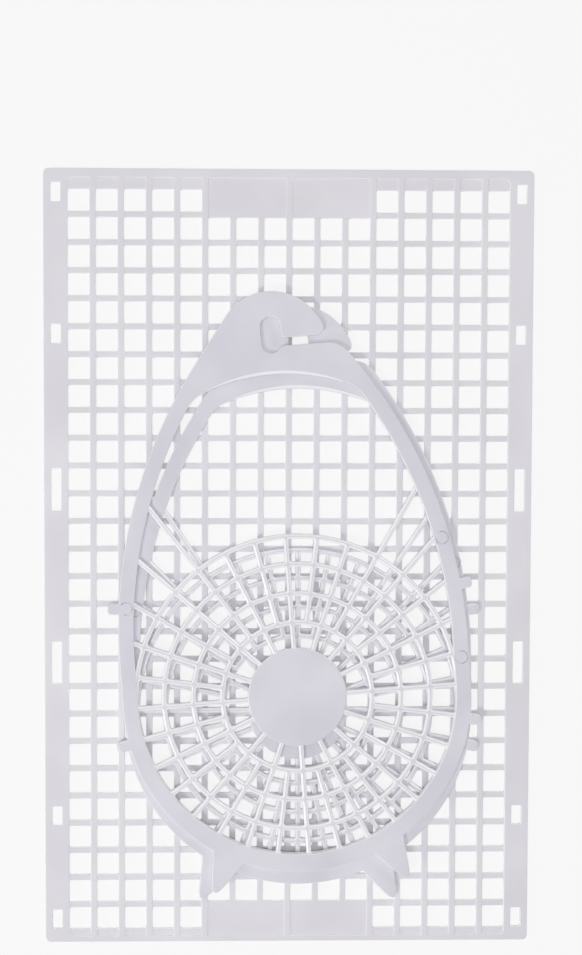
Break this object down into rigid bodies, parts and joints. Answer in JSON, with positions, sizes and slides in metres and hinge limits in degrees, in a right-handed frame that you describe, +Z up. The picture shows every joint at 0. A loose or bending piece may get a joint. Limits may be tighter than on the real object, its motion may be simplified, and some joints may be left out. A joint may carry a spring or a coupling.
{
  "type": "peg basket",
  "caption": "Flat-packed hanging peg basket: a mesh panel that bends up into a trough, with webbed end frames whose hooks hang it on a washing line.",
  "frame": {"origin": "middle of the mesh panel's underside, as the pack lies flat", "axes": "+X across the panel's width, +Y along its length towards the hooks, +Z up"},
  "size_m": [0.24, 0.382, 0.0106],
  "materials": {
    "white_plastic": "satin moulded"
  },
  "bodies": {
    "panel_centre": {"panel_centre": "white_plastic"},
    "panel_upper_1": {"panel_upper_1": "white_plastic"},
    "panel_upper_2": {"panel_upper_2": "white_plastic"},
    "panel_upper_3": {"panel_upper_3": "white_plastic"},
    "panel_lower_1": {"panel_lower_1": "white_plastic"},
    "panel_lower_2": {"panel_lower_2": "white_plastic"},
    "panel_lower_3": {"panel_lower_3": "white_plastic"},
    "rear_end": {"rear_end": "white_plastic"},
    "front_end": {"front_end": "white_plastic"}
  },
  "joints": [
    {"name": "bend_upper_1", "type": "hinge", "parent": "panel_centre", "child": "panel_upper_1", "pos_m": [0, 0.01189, 0.002], "axis": [1, 0, 0], "range_deg": [0, 22]},
    {"name": "bend_upper_2", "type": "hinge", "parent": "panel_upper_1", "child": "panel_upper_2", "pos_m": [0, 0.05281, 0.002], "axis": [1, 0, 0], "range_deg": [0, 30]},
    {"name": "bend_upper_3", "type": "hinge", "parent": "panel_upper_2", "child": "panel_upper_3", "pos_m": [0, 0.09373, 0.002], "axis": [1, 0, 0], "range_deg": [0, 38]},
    {"name": "bend_lower_1", "type": "hinge", "parent": "panel_centre", "child": "panel_lower_1", "pos_m": [0, -0.02903, 0.002], "axis": [-1, 0, 0], "range_deg": [0, 22]},
    {"name": "bend_lower_2", "type": "hinge", "parent": "panel_lower_1", "child": "panel_lower_2", "pos_m": [0, -0.06995, 0.002], "axis": [-1, 0, 0], "range_deg": [0, 30]},
    {"name": "bend_lower_3", "type": "hinge", "parent": "panel_lower_2", "child": "panel_lower_3", "pos_m": [0, -0.11087, 0.002], "axis": [-1, 0, 0], "range_deg": [0, 38]},
    {"name": "lift_rear", "type": "slide", "parent": "panel_centre", "child": "rear_end", "axis": [0, 0, 1], "range_m": [0, 0.2]},
    {"name": "lift_front", "type": "slide", "parent": "rear_end", "child": "front_end", "axis": [0, 0, 1], "range_m": [0, 0.1]}
  ],
  "couplings": [
    {"joint": "bend_upper_1", "follows": "lift_rear", "rad_per_m": 1.9198},
    {"joint": "bend_upper_2", "follows": "lift_rear", "rad_per_m": 2.6179},
    {"joint": "bend_upper_3", "follows": "lift_rear", "rad_per_m": 3.3161},
    {"joint": "bend_lower_1", "follows": "lift_rear", "rad_per_m": 1.9198},
    {"joint": "bend_lower_2", "follows": "lift_rear", "rad_per_m": 2.6179},
    {"joint": "bend_lower_3", "follows": "lift_rear", "rad_per_m": 3.3161}
  ]
}
